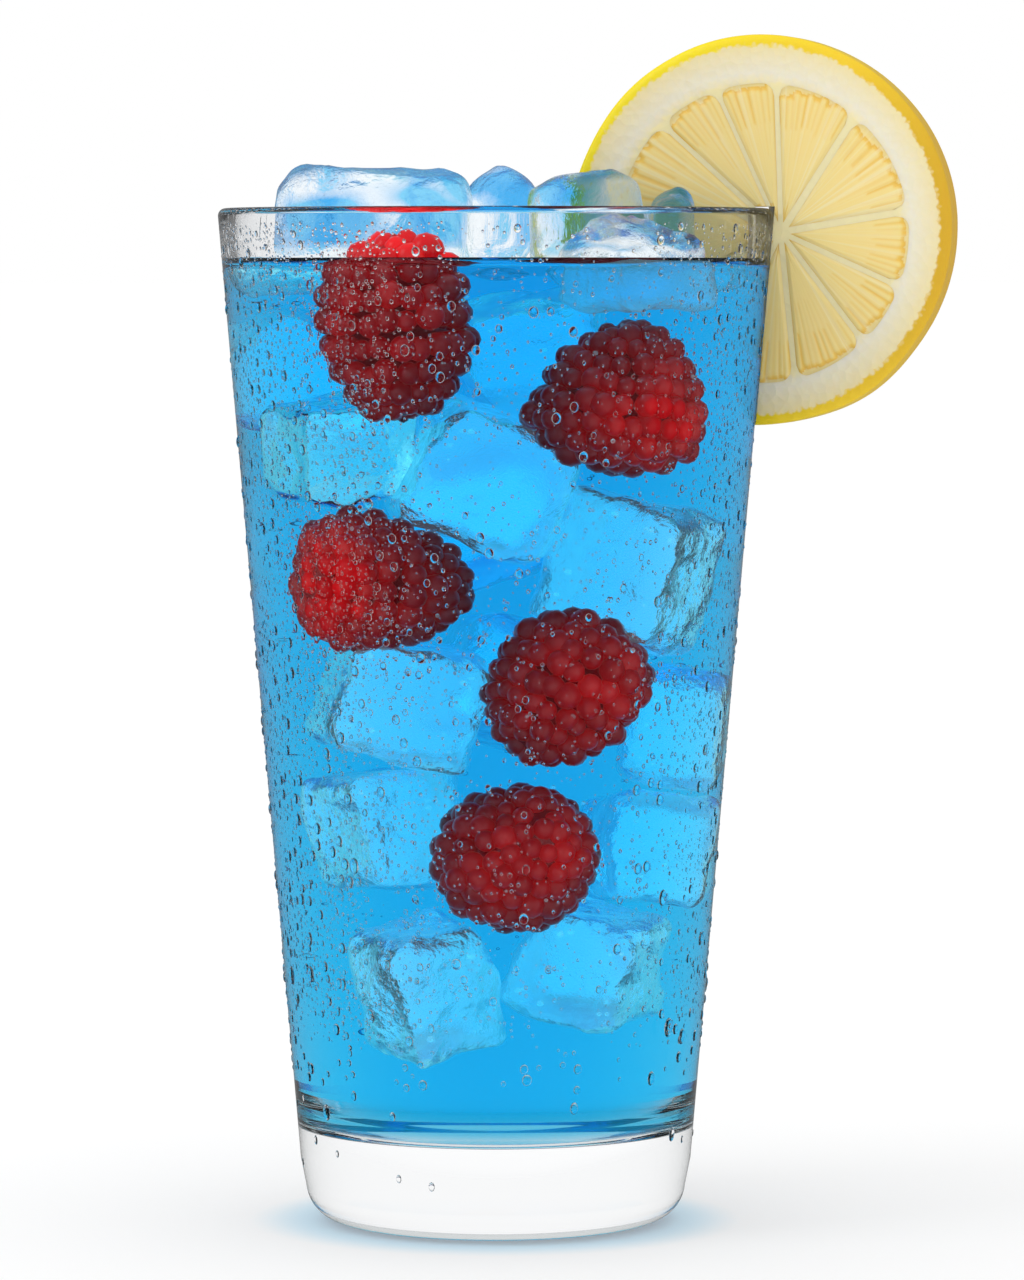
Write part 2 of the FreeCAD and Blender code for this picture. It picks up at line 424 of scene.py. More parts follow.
def bead_tree():
    """Geometry nodes: a round bead on every point, its three half-widths read from the point."""
    tree = bpy.data.node_groups.new("beads_on_points", "GeometryNodeTree")
    add_socket(tree, "Points", "NodeSocketGeometry")
    add_socket(tree, "Fineness", "NodeSocketInt", 2)
    add_socket(tree, "Finish", "NodeSocketMaterial")
    add_socket(tree, "Beads", "NodeSocketGeometry", output=True)
    given = tree.nodes.new("NodeGroupInput")
    ball = tree_node(
        tree, "GeometryNodeMeshIcoSphere", Radius=1.0, Subdivisions=given.outputs["Fineness"]
    )
    size = tree.nodes.new("GeometryNodeInputNamedAttribute")
    size.data_type = "FLOAT_VECTOR"
    size.inputs["Name"].default_value = "half_widths"
    turn = tree.nodes.new("GeometryNodeInputNamedAttribute")
    turn.data_type = "FLOAT_VECTOR"
    turn.inputs["Name"].default_value = "turn"
    to_turn = tree_node(tree, "FunctionNodeEulerToRotation", i0=turn.outputs["Attribute"])
    spread = tree_node(
        tree,
        "GeometryNodeInstanceOnPoints",
        Points=given.outputs["Points"],
        Instance=ball.outputs["Mesh"],
        Rotation=to_turn.outputs["Rotation"],
        Scale=size.outputs["Attribute"],
    )
    real = tree_node(tree, "GeometryNodeRealizeInstances", Geometry=spread.outputs["Instances"])
    soft = tree_node(tree, "GeometryNodeSetShadeSmooth", Geometry=real.outputs["Geometry"])
    finish = tree_node(
        tree,
        "GeometryNodeSetMaterial",
        Geometry=soft.outputs["Geometry"],
        Material=given.outputs["Finish"],
    )
    out = tree.nodes.new("NodeGroupOutput")
    tree.links.new(finish.outputs["Geometry"], out.inputs["Beads"])
    return tree


beads_on_points = bead_tree()


def tree_inputs(tree):
    """The identifiers of a geometry tree's inputs, by name."""
    return {s.name: s.identifier for s in tree.interface.items_tree if s.in_out == "INPUT"}


def grow_beads(name, places, half_widths, turns, material, shades=None):
    """A mesh of beads at the places, made by the bead tree and turned into plain geometry."""
    mesh = bpy.data.meshes.new(name)
    mesh.from_pydata([tuple(p) for p in places], [], [])
    for key, rows in (("half_widths", half_widths), ("turn", turns)):
        layer = mesh.attributes.new(key, "FLOAT_VECTOR", "POINT")
        layer.data.foreach_set("vector", np.array(rows, dtype=np.float32).ravel())
    if shades is not None:
        layer = mesh.attributes.new("shade", "FLOAT", "POINT")
        layer.data.foreach_set("value", np.array(shades, dtype=np.float32))
    piece = bpy.data.objects.new(name, mesh)
    scene.collection.objects.link(piece)
    step = piece.modifiers.new("beads", "NODES")
    step.node_group = beads_on_points
    step[tree_inputs(beads_on_points)["Finish"]] = material
    settle(piece)
    return piece


def ramp(material, factor, stops):
    """A colour ramp with the given (position, colour) stops."""
    node = add_node(material, "ShaderNodeValToRGB", Fac=factor)
    while len(node.color_ramp.elements) < len(stops):
        node.color_ramp.elements.new(0.5)
    for element, (position, colour) in zip(node.color_ramp.elements, stops):
        element.position = position
        element.color = (*colour, 1)
    return node.outputs["Color"]


# The berries' emission takes their own colour: a painted red glow, light that no lamp gives.
berry_red = new_material(
    "berry_red",
    Roughness=0.28,
    IOR=1.5,
    Specular_IOR_Level=0.3,
    Coat_Weight=0.2,
    Coat_Roughness=0.05,
    Emission_Strength=0.13,
)
drupelet_tone_and_gap_shade = add_node(berry_red, "ShaderNodeAttribute")
drupelet_tone_and_gap_shade.attribute_name = "shade"
# Each drupelet's shade value is its own random tone. The core's low value takes the ramp's dark end,
# which is painted shade in the gaps between the drupelets.
berry_colour_and_glow = ramp(
    berry_red,
    drupelet_tone_and_gap_shade.outputs["Fac"],
    [(0.0, (0.16, 0.0, 0.004)), (0.3, (0.62, 0.0, 0.006)), (1.0, (1.0, 0.006, 0.012))],
)
on_shader(berry_red, Base_Color=berry_colour_and_glow, Emission_Color=berry_colour_and_glow)


drupelet = 0.00186
drupelet_rows = 10
drupelet_spacing = 1.62
core_share = 0.97
core_painted_shade = 0.15


def raspberry(name, centre, width, length, tip, seed, taper):
    """One raspberry with its tip pointing along a direction, as drupelets on an egg-shaped core."""
    rng = random.Random(seed)
    along = Vector(tip).normalized()
    frame_turn = along.to_track_quat("Z", "Y")
    places = []
    sizes = []
    turns = []
    shades = []
    half = length / 2 - drupelet * 0.8
    wide = width / 2 - drupelet * 0.8
    for row in range(drupelet_rows):
        t = math.pi * (row + 0.3) / (drupelet_rows - 0.4) - math.pi / 2
        height = half * math.sin(t)
        around = wide * max(0.0, math.cos(t)) ** 0.8 * (1 - taper * 0.5 * (math.sin(t) + 0.2))
        bead_row = drupelet * (1.0 - 0.12 * math.sin(t))
        count = max(1, round(2 * math.pi * around / (bead_row * drupelet_spacing)))
        core_half = 1.5 * half / drupelet_rows + 0.0006
        # Core discs carry the dark value, so that the gaps between the drupelets show painted shade.
        places.append(Vector(centre) + frame_turn @ Vector((0, 0, height * 0.96)))
        sizes.append((around * core_share, around * core_share, core_half))
        turns.append(tuple(frame_turn.to_euler()))
        shades.append(core_painted_shade)
        for i in range(count):
            turn = 2 * math.pi * (i + 0.5 * (row % 2) + rng.uniform(-0.16, 0.16)) / count
            wobble = 1 + rng.uniform(-0.05, 0.05)
            local = Vector((around * wobble * math.cos(turn), around * wobble * math.sin(turn), height))
            local.z += rng.uniform(-0.00045, 0.00045)
            places.append(Vector(centre) + frame_turn @ local)
            grow = bead_row * rng.uniform(0.88, 1.24)
            outward = Vector((local.x / wide ** 2, local.y / wide ** 2, local.z / half ** 2))
            facing = (frame_turn @ outward).to_track_quat("Z", "Y").to_euler()
            sizes.append((grow, grow, grow * 1.05))
            turns.append(tuple(facing))
            shades.append(rng.uniform(0.3, 1.0))
    return grow_beads(name, places, sizes, turns, berry_red, shades)


low, high = (Vector(corner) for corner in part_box("raspberry_afloat"))
afloat = raspberry(
    "raspberry_floating", (low + high) / 2, high.x - low.x, high.z - low.z, (0.1, 0.1, -1), 21, 0.2
)
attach(afloat, "root")
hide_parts("raspberry_afloat")
sunk_berries = [
    ("raspberry_sunk_1", (0.0177, -0.0194, 0.1316), 0.0262, 0.0226, (0.12, 0.0, 1), 22, 0.66),
    ("raspberry_sunk_2", (-0.0158, -0.0190, 0.1025), 0.0218, 0.0264, (1, 0.25, -0.1), 23, 0.5),
    ("raspberry_sunk_3", (0.0096, -0.0203, 0.0857), 0.0228, 0.0236, (-0.5, -0.2, -0.8), 24, 0.3),
    ("raspberry_sunk_4", (0.0034, -0.0200, 0.0602), 0.0226, 0.0232, (0.3, -0.5, 0.3), 25, 0.25),
]
berries = []
for name, centre, width, length, tip, seed, taper in sunk_berries:
    berry = raspberry(name, centre, width, length, tip, seed, taper)
    berries.append(berry)
    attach(berry, "root")


# Bubbles: small round beads of gas. Some cling to the raspberries in the drink and some are frozen
# into the ice. They are one mesh of smooth balls, scattered over the other pieces' points.
gas_headroom = 0.004


def bubble_places(piece, count, largest, depth, rng):
    """Places over a piece's surface, about a given depth under it, or outside it when negative."""
    mesh = piece.data
    places = []
    while len(places) < count:
        vertex = mesh.vertices[rng.randrange(len(mesh.vertices))]
        spot = vertex.co - vertex.normal * rng.uniform(0.6, 1.4) * depth
        reach = inner_radius(spot.z) - 2 * largest
        if spot.z < drink_level - gas_headroom and math.hypot(spot.x, spot.y) < reach:
            places.append(spot)
    return places


rng = random.Random(60)
places = []
halves = []
gas_kinds = (
    (sunk_ice, 22, 0.0002, 0.0006, 0.0035),
    ([afloat] + berries, 45, 0.00014, 0.00042, -0.0006),
)
for hosts, count, least, most, depth in gas_kinds:
    for host in hosts:
        found = bubble_places(host, count, most, depth, rng)
        places += found
        halves += [(least + (most - least) * rng.random() ** 2,) * 3 for _ in found]
gas = grow_beads("bubbles_in_drink", places, halves, [(0, 0, 0)] * len(places), ice_clear)
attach(gas, "root")


# The lemon wheel: a slice through a whole lemon, slit and hooked over the rim. A thin waxy zest holds
# thick cream pith; eleven segments of juice sacs lie between membranes that meet at a core.
wheel_radius = 0.0308
wheel_thickness = 0.0065
pulp_radius = 0.0236
pulp_offset = (0.0006, -0.0005)
membrane = 0.00036
core_radius = 0.0016
core_offset = (0.0036, -0.0004)
segment_edges_deg = (9.0, 57.0, 92.0, 115.0, 138.0, 172.0, 210.0, 244.0, 276.0, 308.0, 336.0)
wheel_turn = math.radians(-15)
wheel_azimuth = math.radians(6)
astride = rim_radius - wall / 2
wheel_drop = 0.0034
wheel_centre = Vector(
    (astride * math.cos(wheel_azimuth), astride * math.sin(wheel_azimuth), glass_height - wheel_drop)
)


def on_rim(point):
    """Takes a point of the upright wheel (x across, y through, z up) to its place on the rim."""
    return Matrix.Rotation(wheel_turn, 3, "Z") @ Vector(point) + wheel_centre


def wheel_coordinates(material):
    """Object coordinates turned and centred on the wheel: x across, y through, z up."""
    back = Matrix.Rotation(-wheel_turn, 3, "Z")
    start = back @ wheel_centre
    spot = add_node(material, "ShaderNodeTexCoord")
    mapped = add_node(
        material,
        "ShaderNodeMapping",
        Vector=spot.outputs["Object"],
        Location=(-start.x, -start.y, -start.z),
        Rotation=(0, 0, -wheel_turn),
    )
    return mapped.outputs["Vector"]


lemon_rind = new_material(
    "lemon_rind",
    Roughness=0.38,
    IOR=1.45,
    Subsurface_Weight=0.25,
    Subsurface_Scale=0.002,
    Subsurface_Radius=(1.0, 0.8, 0.3),
)
place = wheel_coordinates(lemon_rind)
axes = add_node(lemon_rind, "ShaderNodeSeparateXYZ", Vector=place)
flat = add_node(lemon_rind, "ShaderNodeCombineXYZ", X=axes.outputs["X"], Z=axes.outputs["Z"])
reach = add_node(lemon_rind, "ShaderNodeVectorMath", i0=flat.outputs["Vector"])
reach.operation = "LENGTH"
oil = add_node(lemon_rind, "ShaderNodeTexVoronoi", Vector=place, Scale=1150.0)
teeth = add_node(lemon_rind, "ShaderNodeMath", i0=oil.outputs["Distance"], i1=0.0009)
teeth.operation = "MULTIPLY"
edge = add_node(lemon_rind, "ShaderNodeMath", i0=reach.outputs["Value"], i1=teeth.outputs["Value"])
edge.operation = "ADD"
pith_start = pulp_radius
zest_end = 0.0318
band = add_node(
    lemon_rind, "ShaderNodeMapRange", Value=edge.outputs["Value"], From_Min=pith_start, From_Max=zest_end
)
pith_stops = [
    (0.0, (0.98, 0.84, 0.45)),
    (0.06, (0.94, 0.83, 0.55)),
    (0.2, (0.90, 0.84, 0.66)),
    (0.75, (0.90, 0.77, 0.40)),
]
pith_colour = ramp(lemon_rind, band.outputs["Result"], pith_stops)
# Across the wheel the zest turns from bright yellow to dark orange at its right side: painted shade on
# the side away from the key light.
across = add_node(
    lemon_rind, "ShaderNodeMapRange", Value=axes.outputs["X"], From_Min=-0.012, From_Max=0.030
)
zest_stops = [(0.0, (0.97, 0.78, 0.006)), (0.6, (0.93, 0.64, 0.02)), (1.0, (0.72, 0.43, 0.015))]
zest_colour_and_painted_shade = ramp(lemon_rind, across.outputs["Result"], zest_stops)
zest_share = add_node(
    lemon_rind, "ShaderNodeMapRange", Value=band.outputs["Result"], From_Min=0.70, From_Max=0.76
)
skin = add_node(lemon_rind, "ShaderNodeMix", i0=zest_share.outputs["Result"])
skin.data_type = "RGBA"
lemon_rind.node_tree.links.new(pith_colour, skin.inputs[6])
lemon_rind.node_tree.links.new(zest_colour_and_painted_shade, skin.inputs[7])
pores = add_node(lemon_rind, "ShaderNodeTexVoronoi", Vector=place, Scale=620.0)
grain = add_node(
    lemon_rind, "ShaderNodeBump", Strength=0.3, Distance=0.0004, Height=pores.outputs["Distance"]
)
on_shader(lemon_rind, Base_Color=skin.outputs[2], Normal=grain.outputs["Normal"])

lemon_flesh = new_material(
    "lemon_flesh",
    Roughness=0.28,
    IOR=1.4,
    Coat_Weight=0.3,
    Coat_Roughness=0.12,
    Subsurface_Weight=0.2,
    Subsurface_Scale=0.003,
    Subsurface_Radius=(1.0, 0.75, 0.25),
)
sac = add_node(lemon_flesh, "ShaderNodeAttribute")
sac.attribute_name = "sac"
# The pulp's colour follows the sacs' relief: pale in the seams, deep orange on the sacs' sides, and pale
# again on their backs, a painted highlight on the crests.
flesh_stops = [
    (0.0, (0.97, 0.75, 0.30)),
    (0.25, (0.89, 0.53, 0.08)),
    (0.75, (0.93, 0.60, 0.12)),
    (1.0, (0.98, 0.76, 0.30)),
]
flesh_colour_and_crest_highlight = ramp(lemon_flesh, sac.outputs["Fac"], flesh_stops)
place = wheel_coordinates(lemon_flesh)
core_place = (core_offset[0], 0, core_offset[1])
from_core = add_node(lemon_flesh, "ShaderNodeVectorMath", i0=place, i1=core_place)
from_core.operation = "SUBTRACT"
radial = add_node(lemon_flesh, "ShaderNodeVectorMath", i0=from_core.outputs["Vector"], i1=(1, 0.0, 1))
radial.operation = "MULTIPLY"
heading = add_node(lemon_flesh, "ShaderNodeVectorMath", i0=radial.outputs["Vector"])
heading.operation = "NORMALIZE"
streaks = add_node(
    lemon_flesh, "ShaderNodeTexNoise", Vector=heading.outputs["Vector"], Scale=17.0, Detail=3.0
)
paleness = add_node(
    lemon_flesh,
    "ShaderNodeMapRange",
    Value=streaks.outputs["Fac"],
    From_Min=0.50,
    From_Max=0.66,
    To_Min=0.0,
    To_Max=0.7,
)
flesh = add_node(lemon_flesh, "ShaderNodeMix", i0=paleness.outputs["Result"])
flesh.data_type = "RGBA"
lemon_flesh.node_tree.links.new(flesh_colour_and_crest_highlight, flesh.inputs[6])
flesh.inputs[7].default_value = (0.98, 0.84, 0.48, 1)
on_shader(lemon_flesh, Base_Color=flesh.outputs[2])


def segment_reach(apex, angle):
    """Distance from a segment's apex to the pulp's outer circle along an angle."""
    dx = apex[0] - pulp_offset[0]
    dz = apex[1] - pulp_offset[1]
    b = dx * math.cos(angle) + dz * math.sin(angle)
    return -b + math.sqrt(b * b - dx * dx - dz * dz + pulp_radius ** 2)


def segment_shape(start_deg, end_deg, inset):
    """Apex and side angles of one wedge of pulp, inset from its membranes."""
    start = math.radians(start_deg)
    end = math.radians(end_deg)
    middle = (start + end) / 2
    setback = max(inset / math.sin((end - start) / 2), core_radius)
    apex = (core_offset[0] + setback * math.cos(middle), core_offset[1] + setback * math.sin(middle))
    return apex, start, end


def wedge_reach(apex, start, end, t, corner=0.0020):
    """Reach of a wedge at a share t of its spread, with the outer corners rounded off."""
    angle = start + (end - start) * t
    full = segment_reach(apex, angle)
    from_edge = min(t, 1 - t) * (end - start) * full
    bend = max(0.0, 1 - from_edge / corner)
    return angle, full - corner * (1 - math.sqrt(1 - bend * bend))


sac_spacing = 0.00115
sac_relief = 0.00036
seam_depth = 0.00014
edge_fade = 0.0006
pulp_proud = 0.00001


def juice_sacs(rng, spread, reach):
    """Long juice sacs of one segment: share across, inner end, outer end and half-width of each."""
    sacs = []
    count = max(6, round(spread * reach / sac_spacing))
    for i in range(count):
        for layer in range(3):
            outer = reach * (1.0 - layer * 0.24 - rng.uniform(0.0, 0.05))
            sacs.append((
                (i + 0.5 + 0.33 * layer + rng.uniform(-0.22, 0.22)) / count,
                outer * rng.uniform(0.12, 0.35) if layer else outer * 0.3,
                outer,
                rng.uniform(0.00075, 0.00115) * (1.0 - 0.12 * layer),
            ))
    return sacs


def sac_height(sacs, start, end, share, r):
    """Relief of the pulp, 0 in the seams to 1 on the backs of the sacs."""
    best = np.zeros_like(r)
    for middle, inner, outer, width in sacs:
        across = (share - middle) * (end - start) * r
        along = np.clip((r - inner) / (outer - inner), 0, 1)
        swell = width * (0.35 + 0.65 * along ** 0.8)
        head = np.clip((r - (outer - width)) / width, 0, 1)
        tail = np.clip((inner - r) / 0.002, 0, 1)
        shape = 1 - (across / swell) ** 2 - head ** 2 - tail
        best = np.maximum(best, np.sqrt(np.clip(shape, 0, 1)))
    return best


def pulp_wedge(name, start_deg, end_deg, seed, steps_r=44, steps_a=40):
    """One segment of pulp: two faces covered in juice sacs, joined by smooth sides."""
    rng = random.Random(seed)
    apex, start, end = segment_shape(start_deg, end_deg, membrane / 2 - 0.00005)
    longest = segment_reach(apex, (start + end) / 2)
    points = []
    shades = []
    share = np.linspace(0, 1, steps_a + 1)
    for side in (-1, 1):
        sacs = juice_sacs(rng, end - start, longest)
        for t in share:
            angle, limit = wedge_reach(apex, start, end, t)
            r = np.linspace(0.0, 1.0, steps_r + 1) ** 0.8 * limit
            height = sac_height(sacs, start, end, t, r)
            rim = np.minimum(np.minimum(t, 1 - t) * (end - start) * r, limit - r)
            soft = np.clip(rim / edge_fade, 0, 1)
            lift = wheel_thickness / 2 + pulp_proud + (sac_relief * height - seam_depth) * soft
            for radius, up, h in zip(r, lift, height):
                x = apex[0] + radius * math.cos(angle)
                z = apex[1] + radius * math.sin(angle)
                points.append(on_rim((x, side * up, z)))
                shades.append(h)
    row = steps_r + 1
    sheet = row * (steps_a + 1)
    faces = []
    for base in (0, sheet):
        for j in range(steps_a):
            for i in range(steps_r):
                at = base + j * row + i
                faces.append((at, at + 1, at + row + 1, at + row))
    border = list(range(row))
    border += [j * row + steps_r for j in range(1, steps_a + 1)]
    border += [steps_a * row + i for i in range(steps_r - 1, -1, -1)]
    for a, b in zip(border, border[1:]):
        faces.append((a, b, b + sheet, a + sheet))
    return pulp_piece(name, points, faces, shades)


def pulp_piece(name, points, faces, shades):
    """A smooth closed mesh of pulp that keeps the sacs' relief at each point for its material."""
    mesh = bpy.data.meshes.new(name)
    mesh.from_pydata(points, [], faces)
    layer = mesh.attributes.new("sac", "FLOAT", "POINT")
    layer.data.foreach_set("value", np.array(shades, dtype=np.float32))
    shape = bmesh.new()
    shape.from_mesh(mesh)
    bmesh.ops.remove_doubles(shape, verts=shape.verts, dist=2e-6)
    bmesh.ops.dissolve_degenerate(shape, edges=shape.edges, dist=1e-7)
    bmesh.ops.recalc_face_normals(shape, faces=shape.faces)
    shape.to_mesh(mesh)
    shape.free()
    mesh.shade_smooth()
    mesh.set_sharp_from_angle(angle=math.radians(60))
    mesh.materials.append(lemon_flesh)
    piece = bpy.data.objects.new(name, mesh)
    scene.collection.objects.link(piece)
    return piece


room_reach = 0.006


def wedge_prism(start_deg, end_deg):
    """Room for one segment in the peel, right through it."""
    apex, start, end = segment_shape(start_deg, end_deg, membrane / 2)
    outline = [apex]
    steps = 32
    for i in range(steps + 1):
        angle, limit = wedge_reach(apex, start, end, i / steps)
        outline.append((apex[0] + limit * math.cos(angle), apex[1] + limit * math.sin(angle)))
    points = [on_rim((x, y, z)) for y in (-room_reach, room_reach) for x, z in outline]
    n = len(outline)
    faces = [tuple(range(n)), tuple(range(n, 2 * n))]
    faces += [(i, (i + 1) % n, (i + 1) % n + n, i + n) for i in range(n)]
    return mesh_piece("room", points, faces, None)


slot_clearance = 0.0003
notch_above_drink = 0.001


def wheel_slot():
    """Room for the glass wall and, inside it, for everything up to just above the drink."""
    top = glass_height + slot_clearance
    notch = drink_level + notch_above_drink
    low = drink_level - 2 * wheel_radius
    outline = [
        (0, low),
        (outer_radius(low) + slot_clearance, low),
        (outer_radius(top) + slot_clearance, top),
        (inner_radius(top) - slot_clearance, top),
        (inner_radius(notch) - slot_clearance, notch),
        (0, notch),
    ]
    return lathe("slot", outline, None)


zest_round = (0.0014, 0.0009)
rim_dent = 0.0003
face_swell = 0.00012


def wheel_body(name, sides=180):
    """The disc of peel and pith with a softly rounded rim and faces that dip and swell a little."""
    half = wheel_thickness / 2
    bends = [math.pi / 2 * i / 6 for i in range(7)]
    outline = [(wheel_radius * 0.12 * i, half) for i in range(8)]
    outline += [
        (wheel_radius - zest_round[0] * (1 - math.sin(a)), half - zest_round[1] * (1 - math.cos(a)))
        for a in bends
    ]
    outline += [(wheel_radius, (half - zest_round[1]) * (1 - i / 4)) for i in range(1, 5)]
    profile = outline + [(r, -y) for r, y in reversed(outline[:-1])]
    points = []
    faces = []
    for r, y in profile:
        for i in range(sides):
            turn = 2 * math.pi * i / sides
            x, z = math.cos(turn), math.sin(turn)
            dent = noise.noise(Vector((x * 2.2, z * 2.2, 0.3))) * rim_dent * r / wheel_radius
            swell = noise.noise(Vector((r * x * 260, y * 90, r * z * 260))) * face_swell
            points.append(on_rim(((r + dent) * x, y + math.copysign(swell, y), (r + dent) * z)))
    for k in range(len(profile) - 1):
        for i in range(sides):
            j = (i + 1) % sides
            faces.append((k * sides + i, k * sides + j, (k + 1) * sides + j, (k + 1) * sides + i))
    return mesh_piece(name, points, faces, lemon_rind)


edges = segment_edges_deg + (segment_edges_deg[0] + 360,)
slot = wheel_slot()
peel = wheel_body("lemon_peel_and_pith")
for a, b in zip(edges, edges[1:]):
    room = wedge_prism(a, b)
    cut_away(peel, room)
    bpy.data.objects.remove(room)
cut_away(peel, slot)
peel.data.shade_smooth()
peel.data.set_sharp_from_angle(angle=math.radians(40))
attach(peel, "root")
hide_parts("lemon_peel")
wedges = []
for number, (a, b) in enumerate(zip(edges, edges[1:]), 1):
    wedge = pulp_wedge(f"lemon_pulp_{number:02d}", a, b, 40 + number)
    cut_away(wedge, slot)
    wedge.data.shade_smooth()
    wedge.data.set_sharp_from_angle(angle=math.radians(60))
    wedges.append(wedge)
bpy.data.objects.remove(slot)
pulp_nodes = sorted(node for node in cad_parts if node.startswith("lemon_segment"))
for wedge in wedges:
    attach(wedge, "root")
for node in pulp_nodes:
    low, high = (Vector(corner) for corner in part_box(node))
    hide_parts(node)


# Condensation: beads of water on the outside of the cold glass, fine and close together above, larger
# near the foot, thinner at the back and in the middle of the front. Each is a flattened bead.
water_bead = new_material(
    "water_bead",
    Base_Color=(1, 1, 1, 1),
    Roughness=0.0,
    IOR=1.333,
    Transmission_Weight=1.0,
    Specular_Tint=(0.1, 0.1, 0.1, 1),
)


def dew_tree():
    """Geometry nodes: flattened beads scattered over a surface, half sunk into it."""
    tree = bpy.data.node_groups.new("dew_on_wall", "GeometryNodeTree")
    add_socket(tree, "Wall", "NodeSocketGeometry")
    add_socket(tree, "Spacing", "NodeSocketFloat", 0.001)
    add_socket(tree, "Per area", "NodeSocketFloat", 1e6)
    add_socket(tree, "Smallest", "NodeSocketFloat", 0.0002)
    add_socket(tree, "Largest", "NodeSocketFloat", 0.0005)
    add_socket(tree, "Tallness", "NodeSocketFloat", 1.2)
    add_socket(tree, "Flatness", "NodeSocketFloat", 0.5)
    add_socket(tree, "Fineness", "NodeSocketInt", 2)
    add_socket(tree, "Seed", "NodeSocketInt", 1)
    add_socket(tree, "Finish", "NodeSocketMaterial")
    add_socket(tree, "Dew", "NodeSocketGeometry", output=True)
    given = tree.nodes.new("NodeGroupInput")
    scatter = tree.nodes.new("GeometryNodeDistributePointsOnFaces")
    scatter.distribute_method = "POISSON"
    wiring = {"Mesh": "Wall", "Distance Min": "Spacing", "Density Max": "Per area", "Seed": "Seed"}
    for socket, value in wiring.items():
        tree.links.new(given.outputs[value], scatter.inputs[socket])
    place = tree.nodes.new("GeometryNodeInputPosition")
    patch = tree_node(
        tree, "ShaderNodeTexNoise", Vector=place.outputs["Position"], Scale=90.0, Detail=2.0
    )
    density = tree_node(
        tree, "ShaderNodeMapRange", Value=patch.outputs["Fac"], From_Min=0.25, From_Max=0.5
    )
    axes = tree_node(tree, "ShaderNodeSeparateXYZ", Vector=place.outputs["Position"])
    front = tree_node(
        tree,
        "ShaderNodeMapRange",
        Value=axes.outputs["Y"],
        From_Min=-0.015,
        From_Max=0.008,
        To_Min=1.0,
        To_Max=0.12,
    )
    aside = tree_node(tree, "ShaderNodeMath", i0=axes.outputs["X"], i1=0.008)
    aside.operation = "SUBTRACT"
    apart = tree_node(tree, "ShaderNodeMath", i0=aside.outputs["Value"])
    apart.operation = "ABSOLUTE"
    sides = tree_node(
        tree,
        "ShaderNodeMapRange",
        Value=apart.outputs["Value"],
        From_Min=0.012,
        From_Max=0.032,
        To_Min=0.22,
        To_Max=1.0,
    )
    across = tree_node(
        tree, "ShaderNodeMath", i0=front.outputs["Result"], i1=sides.outputs["Result"]
    )
    across.operation = "MULTIPLY"
    share = tree_node(
        tree, "ShaderNodeMath", i0=density.outputs["Result"], i1=across.outputs["Value"]
    )
    share.operation = "MULTIPLY"
    tree.links.new(share.outputs["Value"], scatter.inputs["Density Factor"])
    chance = tree.nodes.new("FunctionNodeRandomValue")
    tree.links.new(given.outputs["Seed"], chance.inputs["Seed"])
    steep = tree_node(tree, "ShaderNodeMath", i0=chance.outputs[1], i1=2.2)
    steep.operation = "POWER"
    size = tree_node(
        tree,
        "ShaderNodeMapRange",
        Value=steep.outputs[0],
        To_Min=given.outputs["Smallest"],
        To_Max=given.outputs["Largest"],
    )
    tall = tree_node(
        tree, "ShaderNodeMath", i0=size.outputs["Result"], i1=given.outputs["Tallness"]
    )
    tall.operation = "MULTIPLY"
    thick = tree_node(
        tree, "ShaderNodeMath", i0=size.outputs["Result"], i1=given.outputs["Flatness"]
    )
    thick.operation = "MULTIPLY"
    spread = tree_node(
        tree,
        "ShaderNodeCombineXYZ",
        X=size.outputs["Result"],
        Y=tall.outputs["Value"],
        Z=thick.outputs["Value"],
    )
    ball = tree_node(
        tree, "GeometryNodeMeshIcoSphere", Radius=1.0, Subdivisions=given.outputs["Fineness"]
    )
    stand = tree_node(
        tree,
        "GeometryNodeInstanceOnPoints",
        Points=scatter.outputs["Points"],
        Instance=ball.outputs["Mesh"],
        Rotation=scatter.outputs["Rotation"],
        Scale=spread.outputs["Vector"],
    )
    real = tree_node(tree, "GeometryNodeRealizeInstances", Geometry=stand.outputs["Instances"])
    soft = tree_node(tree, "GeometryNodeSetShadeSmooth", Geometry=real.outputs["Geometry"])
    finish = tree_node(
        tree,
        "GeometryNodeSetMaterial",
        Geometry=soft.outputs["Geometry"],
        Material=given.outputs["Finish"],
    )
    out = tree.nodes.new("NodeGroupOutput")
    tree.links.new(finish.outputs["Geometry"], out.inputs["Dew"])
    return tree


dew_on_wall = dew_tree()


def wall_band(low, high, sides=128, rows=24):
    """Open band of the outer wall between two heights, for the dew to stand on."""
    points = []
    faces = []
    for k in range(rows + 1):
        z = low + (high - low) * k / rows
        for i in range(sides):
            turn = 2 * math.pi * i / sides
            points.append((outer_radius(z) * math.cos(turn), outer_radius(z) * math.sin(turn), z))
    for k in range(rows):
        for i in range(sides):
            j = (i + 1) % sides
            faces.append((k * sides + i, k * sides + j, (k + 1) * sides + j, (k + 1) * sides + i))
    return points, faces


def dew(name, low, high, **values):
    """One kind of dew over a band of the wall."""
    points, faces = wall_band(low, high)
    mesh = bpy.data.meshes.new(name)
    mesh.from_pydata(points, [], faces)
    piece = bpy.data.objects.new(name, mesh)
    scene.collection.objects.link(piece)
    step = piece.modifiers.new("dew", "NODES")
    step.node_group = dew_on_wall
    sockets = tree_inputs(dew_on_wall)
    for key, value in values.items():
        step[sockets[key.replace("_", " ")]] = value
    step[sockets["Finish"]] = water_bead
    settle(piece)
    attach(piece, "root")


